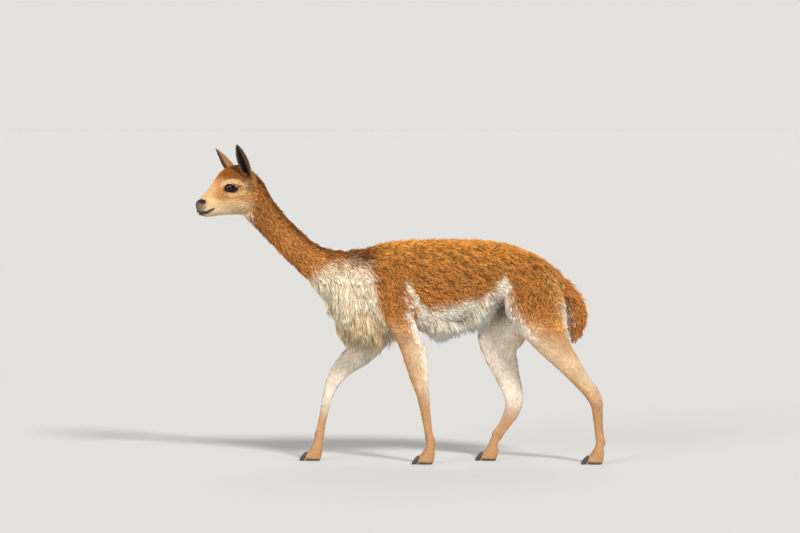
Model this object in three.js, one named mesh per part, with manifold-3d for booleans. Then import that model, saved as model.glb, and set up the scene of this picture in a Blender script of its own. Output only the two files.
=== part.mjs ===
// A vicuna in mid stride, life size, as a museum shows it: a still model made of separate body parts.
// Millimetres, +Z up. It faces -X, and its left side is towards -Y. The origin lies on the ground, under the
// middle of the animal. Every surface is the outside of the coat.
import * as THREE from "three";
import { mergeVertices } from "three/addons/utils/BufferGeometryUtils.js";
import Module from "manifold-3d";

const wasm = await Module();
wasm.setup();

// Driving dimensions
const GAP = 0.3; // between parts that touch
const HEAD_TURN = 15; // degrees that the nose turns to the left
const HEAD_PIVOT = new THREE.Vector3(-612, 0, 1090);
const EYE = { radius: 20, x: -708, y: 49, z: 1104, lid: 4, width: 46, height: 30, turn: 20 };
const EAR = { length: 146, width: 46, wall: 3.4 };
// Locks of long hair: rows down the coat, locks in each row, and the length, width and thickness of a lock
const CHEST_LOCKS = { rows: 5, count: 15, length: 74, width: 33, thick: 6 };
const BELLY_LOCKS = { rows: 3, count: 9, length: 68, width: 30, thick: 6 };
const FLANK_LOCKS = { rows: 7, count: 1, length: 62, width: 26, thick: 6 };
const TAIL_LOCKS = { rows: 7, count: 6, length: 56, width: 28, thick: 8 };
const TOE = { half: 15, apart: 9.5, length: 62 };
const MIDDLE_X = -8; // middle of the animal's length in the frame of the ribs below

const LEFT = -1;
const RIGHT = 1;
const radians = THREE.MathUtils.degToRad;

// Closed solids

function solidOf(positions, triangles) {
  const mesh = new wasm.Mesh({
    numProp: 3,
    vertProperties: new Float32Array(positions),
    triVerts: new Uint32Array(triangles),
  });
  return new wasm.Manifold(mesh);
}

function solidFrom(geometry, place) {
  const plain = geometry.clone().applyMatrix4(place ?? new THREE.Matrix4());
  plain.deleteAttribute("normal");
  plain.deleteAttribute("uv");
  const merged = mergeVertices(plain, 1e-3);
  return solidOf(merged.attributes.position.array, merged.index.array);
}

// Rings of points, joined in turn and closed by a point at each end.
function skinOf(rings, startPoint, endPoint) {
  const sides = rings[0].length;
  const positions = [...rings.flat(), startPoint, endPoint].flatMap((p) => p.toArray());
  const start = rings.length * sides;
  const triangles = [];
  for (let j = 0; j < sides; j++) {
    const k = (j + 1) % sides;
    triangles.push(start, k, j);
    for (let i = 0; i + 1 < rings.length; i++) {
      const a = i * sides;
      const b = a + sides;
      triangles.push(a + j, a + k, b + k, a + j, b + k, b + j);
    }
    const last = (rings.length - 1) * sides;
    triangles.push(start + 1, last + j, last + k);
  }
  const made = solidOf(positions, triangles);
  return made.volume() < 0 ? solidOf(positions, triangles.reverse()) : made;
}

// Bodies of oval ribs. A rib is [x, z of its upper or front edge, x, z of its lower or back edge, half width,
// offset to the side]. Between ribs, each of these numbers follows a smooth curve.

class Form {
  constructor(ribs, { start = 10, end = 10, square = 2, egg = 0, place = new THREE.Matrix4() } = {}) {
    this.ribs = ribs.map((rib) => (rib.length < 6 ? [...rib, 0] : rib));
    Object.assign(this, { start, end, square, egg, place });
  }

  rib(s) {
    const last = this.ribs.length - 1;
    const along = THREE.MathUtils.clamp(s, 0, 1) * last;
    const i = Math.min(Math.floor(along), last - 1);
    const [a, b, c, d] = [i - 1, i, i + 1, i + 2].map((n) => this.ribs[THREE.MathUtils.clamp(n, 0, last)]);
    const t = along - i;
    return b.map((_, n) => {
      const slopeB = (c[n] - a[n]) / 2;
      const slopeC = (d[n] - b[n]) / 2;
      const rise = c[n] - b[n];
      return b[n] + t * (slopeB + t * (3 * rise - 2 * slopeB - slopeC + t * (slopeB + slopeC - 2 * rise)));
    });
  }

  centre(s) {
    const [x1, z1, x2, z2, , y] = this.rib(s);
    return new THREE.Vector3((x1 + x2) / 2, y, (z1 + z2) / 2);
  }

  tangent(s) {
    return this.centre(s + 0.01).sub(this.centre(s - 0.01)).normalize();
  }

  // A point of the surface: angle 0 is the upper or front edge, and a quarter turn is the right side.
  at(s, angle, grow = 0, shrink = 1) {
    const [x1, z1, x2, z2, half] = this.rib(s);
    const power = 2 / this.square;
    const bend = (v) => Math.sign(v) * Math.abs(v) ** power;
    const deep = new THREE.Vector3(x1 - x2, 0, z1 - z2).divideScalar(2);
    const depth = deep.length();
    const up = Math.cos(angle);
    const point = deep.multiplyScalar((bend(up) * shrink * (depth + grow)) / depth);
    point.y = (half + grow) * shrink * bend(Math.sin(angle)) * (1 + this.egg * up);
    return point.add(this.centre(s));
  }

  solid(rings, sides, grow = 0) {
    const made = [];
    const steps = sides > 12 ? [30, 60] : [45];
    const ring = (s, shrink, shift) =>
      Array.from({ length: sides }, (_, j) =>
        this.at(s, (2 * Math.PI * j) / sides, grow, shrink).add(shift).applyMatrix4(this.place));
    const out = (s, reach) => this.tangent(s).multiplyScalar(reach);
    for (const angle of [...steps].reverse())
      made.push(ring(0, Math.cos(radians(angle)), out(0, -(this.start + grow) * Math.sin(radians(angle)))));
    for (let i = 0; i <= rings; i++) made.push(ring(i / rings, 1, new THREE.Vector3()));
    for (const angle of steps)
      made.push(ring(1, Math.cos(radians(angle)), out(1, (this.end + grow) * Math.sin(radians(angle)))));
    const pole = (s, reach) => this.centre(s).add(out(s, reach)).applyMatrix4(this.place);
    return skinOf(made, pole(0, -this.start - grow), pole(1, this.end + grow));
  }
}

// A box, ball or other geometry, turned and put in place.
function placed(position, turn = [0, 0, 0], scale = [1, 1, 1]) {
  const rotation = new THREE.Quaternion().setFromEuler(new THREE.Euler(...turn.map(radians), "ZYX"));
  return new THREE.Matrix4().compose(new THREE.Vector3(...position), rotation, new THREE.Vector3(...scale));
}

// A number between -size and size, from a seeded row of them.
let seed = 20;
function jitter(size) {
  seed = (seed + 0x6d2b79f5) | 0;
  let n = Math.imul(seed ^ (seed >>> 15), 1 | seed);
  n ^= n + Math.imul(n ^ (n >>> 7), 61 | n);
  return size * (((n ^ (n >>> 14)) >>> 0) / 2147483648 - 1);
}

// A lock of long hair rooted in `form` at (s, angle). It is flat, tapers to its tip and falls along `lie`, with
// its tip `lift` clear of the surface at its root.
function lockSolid(form, s, angle, lie, { length, width, thick }, lift) {
  const root = form.at(s, angle);
  const along = form.at(s + 0.01, angle).sub(form.at(s - 0.01, angle));
  const around = form.at(s, angle + 0.01).sub(form.at(s, angle - 0.01));
  const facing = new THREE.Vector3().crossVectors(around, along).normalize();
  if (facing.dot(root.clone().sub(form.centre(s))) < 0) facing.negate();
  const fall = lie.clone().normalize();
  const side = new THREE.Vector3().crossVectors(fall, facing).normalize();
  const sway = jitter(0.16);
  const middle = (t, out) =>
    root
      .clone()
      .addScaledVector(fall, length * t)
      .addScaledVector(facing, out)
      .addScaledVector(side, length * sway * t * t);
  const rings = [[0, 0.7, -9], [0.33, 1, 0.2 * lift], [0.72, 0.72, 0.8 * lift]];
  const made = rings.map(([t, share, out]) => {
    const across = side.clone().multiplyScalar((width * share) / 2);
    const over = facing.clone().multiplyScalar((thick * share) / 2);
    return [across, over, across.clone().negate(), over.clone().negate()]
      .map((offset) => middle(t, out).add(offset));
  });
  return skinOf(made, middle(-0.04, -11), middle(1, lift));
}

// Torso: barrel of the body, from the chest to the rump

const torsoForm = new Form(
  [
    [-292, 804, -292, 628, 55],
    [-232, 846, -232, 584, 90],
    [-152, 858, -152, 542, 114],
    [-52, 885, -52, 522, 128],
    [68, 893, 68, 528, 137],
    [188, 895, 188, 558, 141],
    [308, 892, 308, 598, 137],
    [408, 878, 408, 630, 130],
    [488, 852, 488, 604, 121],
    [568, 808, 568, 574, 102],
    [620, 758, 620, 574, 74],
  ],
  { start: 36, end: 30, square: 2.15, egg: 0.06 },
);

// The depth of hair on the chest that its long locks are rooted in
const bibForm = new Form(
  [
    [-312, 724, -132, 776, 84],
    [-286, 650, -104, 660, 106],
    [-262, 582, -82, 572, 104],
    [-240, 536, -64, 532, 80],
  ],
  { start: 20, end: 10 },
);

// Long white locks hang from the chest in rows, each row over the roots of the next.
function chestLocks() {
  const { rows, count } = CHEST_LOCKS;
  const locks = [];
  for (let row = 0; row < rows; row++) {
    const s = (row + 0.35) / (rows - 0.3);
    const reach = row < 2 ? 104 : 165; // degrees from the front: further back, the upper arm covers the coat
    for (let n = 0; n < count; n++) {
      const angle = radians(reach * ((2 * (n + 0.5 + (row % 2) * 0.5)) / count - 1) + jitter(3));
      const lie = new THREE.Vector3(0.3 - 0.12 * Math.cos(angle), 0.1 * Math.sin(angle), -1);
      const size = { ...CHEST_LOCKS, length: CHEST_LOCKS.length * (0.86 + jitter(0.14)) };
      locks.push(lockSolid(bibForm, s + jitter(0.02), angle, lie, size, 15 + jitter(4)));
    }
  }
  return locks;
}

// Curled white locks fringe the belly from the elbow to the stifle, in rows on each side.
function bellyLocks() {
  const { rows, count } = BELLY_LOCKS;
  const locks = [];
  for (const side of [LEFT, RIGHT])
    for (let row = 0; row < rows; row++)
      for (let n = 0; n < count; n++) {
        const s = 0.405 + (0.235 * (n + (row % 2) * 0.5)) / count + jitter(0.004);
        const angle = side * radians(128 + row * 15 + jitter(3));
        const lie = new THREE.Vector3(0.12 + jitter(0.2), side * 0.12, -1);
        const shorter = 1 - 4.5 * Math.max(0, s - 0.53, 0.05 - (s - 0.41)) - 0.1 * row;
        const size = { ...BELLY_LOCKS, length: BELLY_LOCKS.length * (shorter + jitter(0.1)) };
        locks.push(lockSolid(torsoForm, s, angle, lie, size, 7 + jitter(3)));
      }
  return locks;
}

// White locks hang in the fold between the flank and the front edge of the thigh.
function flankLocks() {
  const { rows } = FLANK_LOCKS;
  const locks = [];
  for (const side of [LEFT, RIGHT])
    for (let row = 0; row < rows; row++) {
      const angle = side * radians(68 + (66 * row) / (rows - 1));
      const lie = new THREE.Vector3(0.22 + jitter(0.08), side * 0.06, -1);
      const size = { ...FLANK_LOCKS, length: FLANK_LOCKS.length * (1 + jitter(0.12)) };
      locks.push(lockSolid(torsoForm, 0.684 + 0.002 * row, angle, lie, size, 9 + jitter(2)));
    }
  return locks;
}

// Neck: from inside the skull to inside the chest

const neckForm = new Form(
  [
    [-592, 1162, -652, 1000, 52],
    [-564, 1128, -622, 972, 52],
    [-524, 1056, -574, 927, 50],
    [-472, 992, -524, 874, 50],
    [-412, 932, -476, 822, 53],
    [-352, 880, -428, 778, 58],
    [-292, 855, -384, 736, 67],
    [-240, 848, -340, 690, 80],
    [-188, 828, -284, 640, 84],
  ],
  { start: 20, end: 20 },
);

// Head

const headPlace = new THREE.Matrix4()
  .makeTranslation(HEAD_PIVOT)
  .multiply(new THREE.Matrix4().makeRotationZ(radians(HEAD_TURN)))
  .multiply(new THREE.Matrix4().makeTranslation(HEAD_PIVOT.clone().negate()));
const inHead = (...from) => headPlace.clone().multiply(placed(...from));

const headForm = new Form(
  [
    [-614, 1170, -604, 1030, 54],
    [-652, 1190, -620, 998, 66],
    [-682, 1190, -645, 994, 69],
    [-711, 1180, -673, 995, 66],
    [-736, 1160, -702, 994, 60],
    [-757, 1132, -731, 992, 51],
    [-778, 1104, -756, 989, 43],
    [-798, 1082, -777, 986, 37],
    [-815, 1066, -794, 985, 32],
    [-826, 1053, -812, 993, 27],
  ],
  { start: 16, end: 14, square: 2.1, egg: -0.04, place: headPlace },
);

function headSolid() {
  const nose = { x: -818, y: 17, z: 1047 };
  const mouth = { front: [-846, 1007], corner: [-766, 1021], open: 2.6, depth: 4 };
  const core = headForm.solid(20, 22, -mouth.depth);
  let head = headForm.solid(20, 22);

  // The line of the mouth: a thin crescent pressed in along both sides of the muzzle
  const line = new THREE.Shape();
  line.moveTo(...mouth.front);
  line.quadraticCurveTo(-800, 1000, ...mouth.corner);
  line.quadraticCurveTo(-800, 1000 - 2 * mouth.open, mouth.front[0], mouth.front[1] - mouth.open);
  const across = new THREE.ExtrudeGeometry(line, { depth: 120, bevelEnabled: false, curveSegments: 5 });
  const upright = inHead([0, 60, 0], [90, 0, 0]);
  head = head.subtract(solidFrom(across, upright).subtract(core));

  // The split of the upper lip
  const split = new THREE.BoxGeometry(30, 1.8, 34);
  head = head.subtract(solidFrom(split, inHead([-832, 0, 1026])).subtract(core));

  for (const side of [LEFT, RIGHT]) {
    const nostril = new THREE.SphereGeometry(1, 10, 6);
    const slit = inHead([nose.x, side * nose.y, nose.z], [0, 14, side * -34], [12, 6.5, 4.2]);
    head = head.subtract(solidFrom(nostril, slit));

    // The lids: a ball over the eye, open in an almond
    const ball = new THREE.SphereGeometry(EYE.radius + EYE.lid, 16, 10);
    head = head.add(solidFrom(ball, inHead([EYE.x, side * EYE.y, EYE.z])));
    const socket = new THREE.SphereGeometry(EYE.radius + GAP, 14, 10);
    head = head.subtract(solidFrom(socket, inHead([EYE.x, side * EYE.y, EYE.z])));
    const almond = new THREE.Shape();
    const [w, h] = [EYE.width / 2, EYE.height];
    almond.moveTo(-w, -1);
    almond.quadraticCurveTo(-w / 3, h * 0.62, w, h * 0.16);
    almond.quadraticCurveTo(w / 4, -h * 0.98, -w, -1);
    const opening = new THREE.ExtrudeGeometry(almond, { depth: 40, bevelEnabled: false, curveSegments: 6 });
    const outwards = side === LEFT ? [90, 0, -EYE.turn] : [90, 0, EYE.turn];
    const reach = side === LEFT ? 0 : 40;
    const place = inHead([EYE.x, side * EYE.y, EYE.z], outwards).multiply(placed([0, 0, -reach]));
    head = head.subtract(solidFrom(opening, place));
  }
  return head;
}

const eyeSolid = (side) =>
  solidFrom(new THREE.SphereGeometry(EYE.radius, 14, 10), inHead([EYE.x, side * EYE.y, EYE.z]));

// Ears: a leaf rolled into a cup, with its opening towards `faces`

function earSolid(root, tip, faces) {
  const axis = tip.clone().sub(root).normalize();
  const open = faces.clone().addScaledVector(axis, -faces.dot(axis)).normalize();
  const across = new THREE.Vector3().crossVectors(axis, open);
  const sections = 8;
  const points = 8;
  const outline = (t) => (EAR.width / 2) * (0.6 + 1.6 * t - 1.75 * t * t) * Math.sqrt(1 - t ** 6);
  const rings = [];
  for (let i = 0; i <= sections; i++) {
    const t = i / (sections + 0.35);
    const roll = radians(150 - 75 * t); // half the angle of the rolled wall
    const wall = EAR.wall * (1 - 0.55 * t);
    const radius = outline(t) / Math.sin(Math.min(roll, Math.PI / 2));
    const centre = root.clone().addScaledVector(axis, t * EAR.length);
    centre.addScaledVector(open, radius * 0.4 + 9 * t * (1 - t));
    const edge = (r, n) => {
      const angle = (n / (points - 1)) * 2 * roll - roll;
      return centre.clone()
        .addScaledVector(across, r * Math.sin(angle))
        .addScaledVector(open, -r * Math.cos(angle));
    };
    const outer = Array.from({ length: points }, (_, n) => edge(radius, n));
    const inner = Array.from({ length: points }, (_, n) => edge(radius - wall, points - 1 - n));
    rings.push([...outer, ...inner]);
  }
  return ribbonOf(rings, points);
}

// Rings that each run out along a curve and back beside it, closed at both ends by the strip between the two.
function ribbonOf(rings, points) {
  const count = 2 * points;
  const triangles = [];
  for (let i = 0; i + 1 < rings.length; i++)
    for (let j = 0; j < count; j++) {
      const a = i * count;
      const k = (j + 1) % count;
      triangles.push(a + j, a + k, a + count + k, a + j, a + count + k, a + count + j);
    }
  const last = (rings.length - 1) * count;
  for (let j = 0; j + 1 < points; j++) {
    const back = count - 1 - j;
    triangles.push(j, back, back - 1, j, back - 1, j + 1);
    triangles.push(last + j, last + back - 1, last + back, last + j, last + j + 1, last + back - 1);
  }
  const positions = rings.flat().flatMap((p) => p.applyMatrix4(headPlace).toArray());
  const made = solidOf(positions, triangles);
  return made.volume() < 0 ? solidOf(positions, triangles.reverse()) : made;
}

// Legs: ribs from the shoulder or hip to the fetlock, with the front edge first, and two toes below

const legs = {
  leg_front_left: {
    side: LEFT,
    ribs: [
      [-96, 776, 24, 788, 22, 88],
      [-104, 692, 36, 692, 39, 97],
      [-80, 604, 44, 604, 42, 96],
      [-48, 532, 64, 532, 36, 92],
      [-16, 464, 92, 472, 28, 88],
      [8, 392, 104, 400, 24, 85],
      [28, 332, 106, 336, 23, 83],
      [50, 272, 110, 276, 20, 81],
      [66, 204, 114, 208, 16, 80],
      [80, 132, 122, 132, 15, 79],
      [84, 96, 134, 90, 21, 78],
      [90, 74, 132, 66, 20, 78],
    ],
  },
  leg_front_right: {
    side: RIGHT,
    ribs: [
      [-116, 724, 12, 744, 24, 88],
      [-146, 620, -4, 604, 40, 94],
      [-164, 520, -52, 480, 36, 90],
      [-192, 480, -128, 396, 31, 87],
      [-228, 454, -176, 366, 28, 84],
      [-268, 408, -216, 340, 25, 82],
      [-300, 356, -244, 310, 23, 80],
      [-316, 308, -266, 280, 20, 80],
      [-328, 252, -282, 246, 16, 79],
      [-340, 192, -297, 188, 15, 79],
      [-352, 132, -310, 130, 15, 78],
      [-364, 98, -314, 88, 21, 78],
      [-362, 76, -320, 64, 20, 78],
    ],
  },
  leg_hind_left: {
    side: LEFT,
    ribs: [
      [440, 788, 600, 740, 30, 80],
      [412, 716, 640, 660, 49, 86],
      [430, 624, 650, 580, 51, 85],
      [468, 536, 656, 534, 46, 84],
      [536, 450, 670, 486, 38, 84],
      [612, 380, 694, 440, 29, 84],
      [672, 322, 740, 358, 23, 84],
      [716, 276, 782, 302, 21, 84],
      [744, 232, 800, 250, 22, 84],
      [752, 188, 802, 196, 17, 83],
      [760, 132, 804, 132, 15, 82],
      [762, 96, 812, 88, 21, 81],
      [766, 74, 808, 64, 20, 81],
    ],
  },
  leg_hind_right: {
    side: RIGHT,
    ribs: [
      [412, 760, 584, 716, 30, 80],
      [348, 660, 556, 590, 48, 86],
      [304, 560, 492, 480, 44, 84],
      [302, 476, 462, 444, 36, 84],
      [334, 394, 466, 392, 30, 84],
      [370, 324, 476, 330, 24, 84],
      [394, 278, 486, 286, 21, 84],
      [408, 234, 488, 238, 22, 84],
      [400, 192, 470, 182, 17, 83],
      [380, 148, 434, 134, 15, 82],
      [354, 112, 404, 92, 20, 81],
      [344, 84, 390, 66, 20, 80],
    ],
  },
};

for (const leg of Object.values(legs)) {
  const ribs = leg.ribs.map((rib) => [...rib.slice(0, 5), leg.side * rib[5]]);
  leg.form = new Form(ribs, { start: 22, end: 6, square: 2.1 });
  const [x1, , x2, , , y] = ribs.at(-1);
  leg.foot = { x: (x1 + x2) / 2, y };
}

const ground = solidFrom(new THREE.BoxGeometry(3000, 1000, 200), placed([0, 0, -100]));

function toeForm({ x, y }, side) {
  const { half, length } = TOE;
  const ribs = [
    [x - 16, 88, x + 12, 80, half - 6, y + (side * TOE.apart) / 2],
    [x - 27, 60, x + 20, 38, half, y + side * TOE.apart],
    [x - 42, 38, x + 10, -4, half + 1, y + side * TOE.apart],
    [x - length + 4, 21, x - 24, -8, half - 2, y + side * TOE.apart],
  ];
  return new Form(ribs, { start: 6, end: 8, square: 2.3 });
}

function nailForm({ x, y }, side) {
  const ribs = [
    [x - 49, 36, x - 46, 16, 8],
    [x - 63, 24, x - 58, 4, 9],
    [x - 75, 8, x - 66, -3, 6],
  ].map((rib) => [...rib, y + side * TOE.apart * 1.1]);
  return new Form(ribs, { start: 3, end: 4, square: 2.3 });
}

const footSolid = (foot) => toeForm(foot, LEFT).solid(4, 8).add(toeForm(foot, RIGHT).solid(4, 8));
const legSolid = (leg) => leg.form.solid(17, 12).add(footSolid(leg.foot)).subtract(ground);

// Tail: a woolly club that hangs against the rump

const tailForm = new Form(
  [
    [592, 788, 604, 724, 22],
    [658, 722, 624, 680, 30],
    [710, 660, 652, 638, 33],
    [730, 592, 664, 582, 33],
    [716, 538, 670, 532, 26],
    [698, 506, 676, 504, 15],
  ],
  { start: 8, end: 10 },
);

// Curly brown locks cover it, in rows that run down to its tip.
function tailLocks() {
  const { rows, count } = TAIL_LOCKS;
  const locks = [];
  for (let row = 0; row < rows; row++)
    for (let n = 0; n < count; n++) {
      const s = 0.1 + (0.86 * row) / rows + jitter(0.015);
      const angle = 2 * Math.PI * ((n + (row % 2) * 0.5) / count) + jitter(0.12);
      const lie = tailForm.tangent(s).setY(jitter(0.15));
      const size = { ...TAIL_LOCKS, length: TAIL_LOCKS.length * (0.9 + jitter(0.12)) };
      locks.push(lockSolid(tailForm, s, angle, lie, size, 7 + jitter(2)));
    }
  return locks;
}

// The parts, each cut back by its neighbours and kept as one closed body

const joined = (solids) => solids.reduce((a, b) => a.add(b));

function largestOf(solid) {
  return solid.decompose().reduce((a, b) => (a.volume() > b.volume() ? a : b));
}

const COAT = { fawn: 0xb87438, neck: 0xb5702f, face: 0xc98d4c, cream: 0xe9dcc4, tail: 0x9c5f28 };
const looks = {
  head: [COAT.face, 0.85],
  neck: [COAT.neck, 0.95],
  torso: [COAT.fawn, 0.95],
  tail: [COAT.tail, 0.95],
  ear: [0x6d5138, 0.9],
  eye: [0x120b08, 0.08],
  leg: [0xc8905a, 0.9],
  nail: [0x2c2622, 0.5],
};

const vicuna = new THREE.Group();

function addPart(name, solid) {
  const { vertProperties, triVerts, numProp } = largestOf(solid).getMesh();
  const positions = new Float32Array((vertProperties.length / numProp) * 3);
  for (let i = 0; i * numProp < vertProperties.length; i++)
    positions.set(vertProperties.subarray(i * numProp, i * numProp + 3), i * 3);
  const geometry = new THREE.BufferGeometry();
  geometry.setAttribute("position", new THREE.BufferAttribute(positions, 3));
  geometry.setIndex(new THREE.BufferAttribute(new Uint32Array(triVerts), 1));
  geometry.computeVertexNormals();
  const [color, roughness] = looks[name.split("_")[0]];
  const material = new THREE.MeshStandardMaterial({ color, roughness, metalness: 0 });
  const mesh = new THREE.Mesh(geometry, material);
  mesh.name = name;
  vicuna.add(mesh);
}

const head = headSolid();
const headGrown = headForm.solid(20, 22, GAP);
const torsoGrown = torsoForm.solid(20, 22, GAP);
const neckGrown = neckForm.solid(16, 16, GAP);

addPart("head", head);
addPart("neck", neckForm.solid(16, 16).subtract(headGrown).subtract(torsoGrown));

const hair = bibForm.solid(6, 18).add(joined([...chestLocks(), ...bellyLocks(), ...flankLocks()]));
let torso = torsoForm.solid(20, 22).add(hair.subtract(neckGrown));
for (const [name, leg] of Object.entries(legs)) {
  addPart(name, legSolid(leg));
  torso = torso.subtract(leg.form.solid(17, 12, GAP));
  for (const side of [LEFT, RIGHT]) {
    const nail = nailForm(leg.foot, side).solid(2, 6);
    const toes = toeForm(leg.foot, LEFT).solid(4, 8, GAP).add(toeForm(leg.foot, RIGHT).solid(4, 8, GAP));
    addPart("nail_" + name.slice(4) + (side === LEFT ? "_a" : "_b"), nail.subtract(toes).subtract(ground));
  }
}
addPart("torso", torso);

let tail = tailForm.solid(10, 14).add(joined(tailLocks())).subtract(torsoGrown);
for (const leg of Object.values(legs)) tail = tail.subtract(leg.form.solid(17, 12, GAP));
addPart("tail", tail);

// Its left ear is up and turned out, and its right ear leans forward.
const ears = {
  ear_left: [[-626, -46, 1147], [-681, -80, 1268], [-0.35, -1, 0.1]],
  ear_right: [[-645, 46, 1150], [-737, 110, 1266], [-0.85, 0.55, 0.2]],
};
for (const [name, points] of Object.entries(ears)) {
  const ear = earSolid(...points.map((point) => new THREE.Vector3(...point)));
  addPart(name, ear.subtract(headGrown).subtract(neckGrown));
}
addPart("eye_left", eyeSolid(LEFT));
addPart("eye_right", eyeSolid(RIGHT));

vicuna.position.x = -MIDDLE_X;

export default vicuna;
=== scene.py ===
"""A vicuna in mid stride, as a life-size museum model: a skin, a coat of mesh tufts, eyes, lashes and nails.

Metres, +Z up. It faces -X and its left side is towards -Y. Sizes in millimetres are marked mm, and those of
the body are measured along X from a point 8 mm behind the frame's origin.
"""

import math

import bmesh
import bpy
import numpy as np
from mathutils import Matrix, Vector
from mathutils.kdtree import KDTree


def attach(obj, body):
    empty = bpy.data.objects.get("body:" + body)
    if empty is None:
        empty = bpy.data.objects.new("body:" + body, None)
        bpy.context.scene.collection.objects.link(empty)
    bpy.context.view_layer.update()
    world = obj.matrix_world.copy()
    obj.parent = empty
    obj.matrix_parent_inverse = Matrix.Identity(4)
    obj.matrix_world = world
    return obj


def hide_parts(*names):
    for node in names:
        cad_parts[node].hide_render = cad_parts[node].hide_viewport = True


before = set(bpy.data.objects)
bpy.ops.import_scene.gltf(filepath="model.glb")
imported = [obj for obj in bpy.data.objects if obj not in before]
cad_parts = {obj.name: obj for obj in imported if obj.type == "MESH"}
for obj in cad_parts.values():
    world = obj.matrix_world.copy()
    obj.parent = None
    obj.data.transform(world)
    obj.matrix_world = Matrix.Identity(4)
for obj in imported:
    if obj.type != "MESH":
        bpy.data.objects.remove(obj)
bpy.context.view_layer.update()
scene = bpy.context.scene


# The studio
# A pale seamless floor, lit as a museum hall is: a soft lamp high on the right, a weaker and broader one on
# the left, a faint one from the far side, and pale walls all round. The camera looks across the animal from
# its left, far off and a little above it.

FLOOR_HEX = "#CFCECB"
CAMERA_RISE = math.radians(3)
CAMERA_AWAY = 17.78
AIM = Vector((-0.004, 0, 0.786))


def linear(hex_colour):
    """An sRGB hex colour as linear RGBA."""
    parts = [int(hex_colour[i : i + 2], 16) / 255 for i in (1, 3, 5)]
    return (*[c / 12.92 if c <= 0.04045 else ((c + 0.055) / 1.055) ** 2.4 for c in parts], 1.0)


def node(material, kind, inputs=(), links=(), **settings):
    """Adds a node. inputs are (socket, value) pairs and links are (socket, output of another node) pairs."""
    made = material.node_tree.nodes.new(kind)
    for key, value in settings.items():
        setattr(made, key, value)
    for socket, value in inputs:
        made.inputs[socket].default_value = value
    for socket, output in links:
        material.node_tree.links.new(made.inputs[socket], output)
    return made


def new_material(name):
    """A node material with no nodes in it."""
    material = bpy.data.materials.new(name)
    material.use_nodes = True
    material.node_tree.nodes.clear()
    return material


def new_object(name, vertices, faces, material, smooth=True):
    """A mesh object in the scene, of points in metres and a list of faces."""
    mesh = bpy.data.meshes.new(name)
    mesh.from_pydata(vertices, [], faces)
    mesh.polygons.foreach_set("use_smooth", np.full(len(mesh.polygons), smooth))
    if material:
        mesh.materials.append(material)
    made = bpy.data.objects.new(name, mesh)
    scene.collection.objects.link(made)
    return made


# Matt painted floor: even, with no gloss, so that it only takes the soft shadow.
floor_paint = new_material("matt_floor_paint")
mottle = node(floor_paint, "ShaderNodeTexNoise", [("Scale", 3.0), ("Detail", 3.0)])
tone = node(
    floor_paint,
    "ShaderNodeMix",
    [(6, linear("#CBCAC7")), (7, linear(FLOOR_HEX))],
    [(0, mottle.outputs["Fac"])],
    data_type="RGBA",
)
paint = node(
    floor_paint,
    "ShaderNodeBsdfPrincipled",
    [("Roughness", 0.9), ("Specular IOR Level", 0.1)],
    [("Base Color", tone.outputs[2])],
)
node(floor_paint, "ShaderNodeOutputMaterial", links=[("Surface", paint.outputs[0])])
disc = [(60 * math.cos(a), 60 * math.sin(a), 0) for a in np.linspace(0, 2 * math.pi, 64, endpoint=False)]
new_object("floor", disc, [list(range(64))], floor_paint, smooth=False)

camera = bpy.data.objects.new("camera", bpy.data.cameras.new("camera"))
scene.collection.objects.link(camera)
camera.data.lens = 200
camera.data.clip_end = 200
camera.location = AIM + CAMERA_AWAY * Vector((0, -math.cos(CAMERA_RISE), math.sin(CAMERA_RISE)))
camera.rotation_euler = (math.pi / 2 - CAMERA_RISE, 0, 0)
scene.camera = camera

for name, shines, strength, spread in (
    ("key_lamp", (-0.5, 1.0, -0.85), 3.3, 12),
    ("fill_lamp", (0.6, 0.9, -0.35), 1.5, 30),
    ("back_lamp", (-0.1, -0.8, -0.7), 0.7, 50),
):
    lamp = bpy.data.objects.new(name, bpy.data.lights.new(name, "SUN"))
    lamp.data.energy = strength
    lamp.data.angle = math.radians(spread)
    lamp.rotation_euler = Vector(shines).to_track_quat("-Z", "Y").to_euler()
    scene.collection.objects.link(lamp)

# The walls are as bright as the floor at their foot, so that the floor runs into them with no edge.
world = bpy.data.worlds.new("pale_hall")
world.use_nodes = True
sky = world.node_tree.nodes["Background"]
seen = node(world, "ShaderNodeTexCoord")
height = node(world, "ShaderNodeSeparateXYZ", links=[(0, seen.outputs["Generated"])])
rise = node(
    world,
    "ShaderNodeMapRange",
    [("From Min", 0.0), ("From Max", 0.3), ("To Min", 0.858), ("To Max", 0.36)],
    [("Value", height.outputs["Z"])],
)
world.node_tree.links.new(sky.inputs["Strength"], rise.outputs["Result"])
sky.inputs["Color"].default_value = linear("#F4F2EF")
scene.world = world
scene.view_settings.view_transform = "Standard"


# Body shape
# The museum maker's body under the coat: barrel, neck, head, legs with two toes each and dock of the tail,
# carved as one form with no joins. Each rib is mm: x and z of its upper or front edge, x and z of its lower
# or back edge, half width and offset to the side.

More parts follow.
